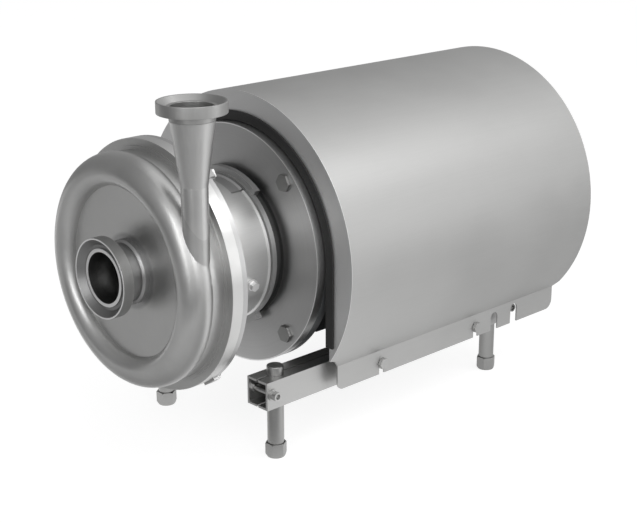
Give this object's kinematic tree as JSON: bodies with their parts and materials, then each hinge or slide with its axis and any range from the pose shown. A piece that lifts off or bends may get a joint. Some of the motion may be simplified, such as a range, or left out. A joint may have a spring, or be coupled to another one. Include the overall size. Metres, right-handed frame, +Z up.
{
  "type": "sanitary centrifugal pump",
  "caption": "Stainless sanitary centrifugal pump: round casing with axial inlet and upright outlet unions, motor under a lift-off sheet shroud, clamped tube legs with levelling feet.",
  "frame": {"origin": "on the floor under the middle of the overall length, in the plane of the shaft", "axes": "+X along the shaft from the inlet to the motor's fan end, +Z up, the outlet stands on the -Y side"},
  "size_m": [0.6758, 0.3844, 0.4554],
  "materials": {
    "casing_steel": "satin, glass blasted",
    "turned_steel": "turned",
    "adapter_steel": "turned casting",
    "guard_steel": "brushed sheet",
    "shroud_steel": "brushed sheet",
    "bar_steel": "bent sheet",
    "leg_steel": "ground tube",
    "screw_steel": "bright",
    "shaft_steel": "ground",
    "impeller_steel": "polished casting",
    "bearing_steel": "ground and polished",
    "motor_paint": "satin enamel",
    "core_steel": "laminated",
    "winding_copper": "varnished",
    "fan_plastic": "matt",
    "gland_plastic": "matt",
    "black_rubber": "matt",
    "seal_carbon": "lapped",
    "seal_ceramic": "lapped"
  },
  "bodies": {
    "pump_and_motor": {"pump_casing": "casing_steel", "inlet_union": "turned_steel", "outlet_cone": "turned_steel", "outlet_union": "turned_steel", "adapter": "adapter_steel", "back_plate": "adapter_steel", "guard_right": "guard_steel", "guard_left": "guard_steel", "outer_channel_right": "bar_steel", "outer_channel_left": "bar_steel", "inner_channel_right": "bar_steel", "inner_channel_left": "bar_steel", "guard_screws": "screw_steel", "casing_screws": "screw_steel", "flange_bolts": "screw_steel", "motor_screws": "screw_steel", "terminal_box_screws": "screw_steel", "foot_bolts": "screw_steel", "clamp_screws": "screw_steel", "shroud_bolts": "screw_steel", "shroud_spacers": "screw_steel", "front_bearing_outer_ring": "bearing_steel", "rear_bearing_outer_ring": "bearing_steel", "motor_front_shield": "motor_paint", "motor_frame": "motor_paint", "motor_rear_shield": "motor_paint", "terminal_box": "motor_paint", "terminal_box_lid": "motor_paint", "fan_cover": "motor_paint", "stator_core": "core_steel", "stator_windings": "winding_copper", "cable_glands": "gland_plastic", "casing_o_ring": "black_rubber", "stationary_seal_ring": "seal_ceramic"},
    "rotating_assembly": {"pump_shaft": "shaft_steel", "motor_shaft": "shaft_steel", "impeller": "impeller_steel", "impeller_key": "shaft_steel", "impeller_nut": "impeller_steel", "rotating_seal_ring": "seal_carbon", "seal_spring": "shaft_steel", "seal_drive_ring": "shaft_steel", "coupling_rings": "shaft_steel", "coupling_screws": "screw_steel", "rotor_core": "core_steel", "front_bearing_inner_ring": "bearing_steel", "rear_bearing_inner_ring": "bearing_steel", "fan": "fan_plastic"},
    "shroud_body": {"shroud": "shroud_steel", "front_edging": "black_rubber", "rear_edging": "black_rubber"},
    "leg_body_front_right": {"leg_front_right": "leg_steel"},
    "foot_body_front_right": {"foot_front_right": "leg_steel"},
    "leg_body_front_left": {"leg_front_left": "leg_steel"},
    "foot_body_front_left": {"foot_front_left": "leg_steel"},
    "leg_body_rear_right": {"leg_rear_right": "leg_steel"},
    "foot_body_rear_right": {"foot_rear_right": "leg_steel"},
    "leg_body_rear_left": {"leg_rear_left": "leg_steel"},
    "foot_body_rear_left": {"foot_rear_left": "leg_steel"}
  },
  "joints": [
    {"name": "shaft_spin", "type": "hinge", "parent": "pump_and_motor", "child": "rotating_assembly", "pos_m": [-0.12575, 0, 0.2394], "axis": [1, 0, 0], "continuous": true},
    {"name": "shroud_lift", "type": "slide", "parent": "pump_and_motor", "child": "shroud_body", "axis": [0, 0, 1], "range_m": [0, 0.35]},
    {"name": "leg_height_front_right", "type": "slide", "parent": "pump_and_motor", "child": "leg_body_front_right", "axis": [0, 0, 1], "range_m": [-0.01, 0.03]},
    {"name": "foot_level_front_right", "type": "slide", "parent": "leg_body_front_right", "child": "foot_body_front_right", "axis": [0, 0, -1], "range_m": [0, 0.03]},
    {"name": "leg_height_front_left", "type": "slide", "parent": "pump_and_motor", "child": "leg_body_front_left", "axis": [0, 0, 1], "range_m": [-0.01, 0.03]},
    {"name": "foot_level_front_left", "type": "slide", "parent": "leg_body_front_left", "child": "foot_body_front_left", "axis": [0, 0, -1], "range_m": [0, 0.03]},
    {"name": "leg_height_rear_right", "type": "slide", "parent": "pump_and_motor", "child": "leg_body_rear_right", "axis": [0, 0, 1], "range_m": [-0.01, 0.03]},
    {"name": "foot_level_rear_right", "type": "slide", "parent": "leg_body_rear_right", "child": "foot_body_rear_right", "axis": [0, 0, -1], "range_m": [0, 0.03]},
    {"name": "leg_height_rear_left", "type": "slide", "parent": "pump_and_motor", "child": "leg_body_rear_left", "axis": [0, 0, 1], "range_m": [-0.01, 0.03]},
    {"name": "foot_level_rear_left", "type": "slide", "parent": "leg_body_rear_left", "child": "foot_body_rear_left", "axis": [0, 0, -1], "range_m": [0, 0.03]}
  ]
}
